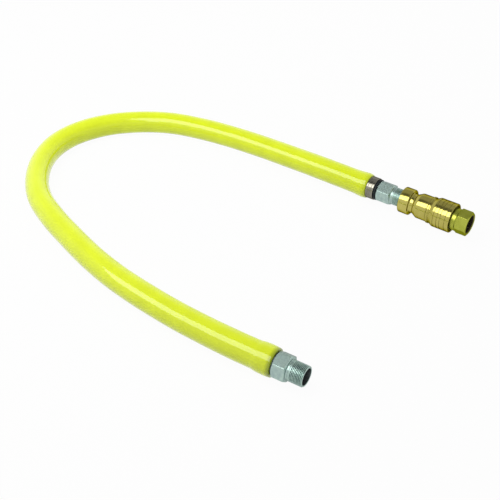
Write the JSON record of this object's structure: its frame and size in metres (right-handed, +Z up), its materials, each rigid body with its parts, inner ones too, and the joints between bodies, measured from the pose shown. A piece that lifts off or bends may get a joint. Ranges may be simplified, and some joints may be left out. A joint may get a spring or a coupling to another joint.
{
  "type": "flexible gas hose",
  "caption": "Coated flexible gas hose bent in an open U, with a swivelling inlet, a quick-disconnect coupling with a sliding lock sleeve, and a threaded outlet nipple.",
  "frame": {"origin": "on the ground, midway between the outermost points of the two ends' fittings", "axes": "+X along the coupling and out of its port, +Y from the outlet end towards the coupling, +Z up"},
  "size_m": [0.644, 0.4197, 0.0429],
  "materials": {
    "jacket": "glossy yellow-green PVC",
    "braid": "woven stainless wire",
    "tube_steel": "drawn stainless",
    "collar_steel": "bright turned stainless",
    "zinc_plate": "dull zinc plate",
    "brass": "bright turned brass",
    "port_brass": "drawn hexagon brass",
    "seal_rubber": "black moulded rubber",
    "spring_steel": "polished spring steel"
  },
  "bodies": {
    "hose": {"hose_jacket": "jacket", "hose_braid": "braid", "hose_tube": "tube_steel", "ferrule_outlet": "collar_steel", "nipple_outlet": "zinc_plate", "collar_inlet": "collar_steel", "swivel_wire": "spring_steel"},
    "swivel_end": {"nipple_inlet": "zinc_plate", "swivel_seal_1": "seal_rubber", "swivel_seal_2": "seal_rubber", "dust_ring": "seal_rubber", "plug_body": "brass"},
    "socket": {"socket_barrel": "brass", "port_piece": "port_brass", "lock_ball_1": "spring_steel", "lock_ball_2": "spring_steel", "lock_ball_3": "spring_steel", "lock_ball_4": "spring_steel", "lock_ball_5": "spring_steel", "lock_ball_6": "spring_steel", "plug_seal": "seal_rubber", "stop_ring": "spring_steel", "spring_seat": "spring_steel", "sleeve_spring": "spring_steel", "valve_poppet": "brass", "valve_seal": "seal_rubber", "valve_spring": "spring_steel", "valve_guide": "brass"},
    "sleeve": {"lock_sleeve": "brass"}
  },
  "joints": [
    {"name": "end_swivel", "type": "hinge", "parent": "hose", "child": "swivel_end", "pos_m": [-0.0524, 0.18455, 0.0214], "axis": [1, 0, 0], "continuous": true},
    {"name": "socket_turn", "type": "hinge", "parent": "swivel_end", "child": "socket", "pos_m": [0.0411, 0.18455, 0.0214], "axis": [1, 0, 0], "continuous": true},
    {"name": "sleeve_pull", "type": "slide", "parent": "socket", "child": "sleeve", "axis": [1, 0, 0], "range_m": [0, 0.0062], "stiffness_N_per_m": 2000, "springref_m": -0.006, "deforming": ["sleeve_spring"]}
  ]
}
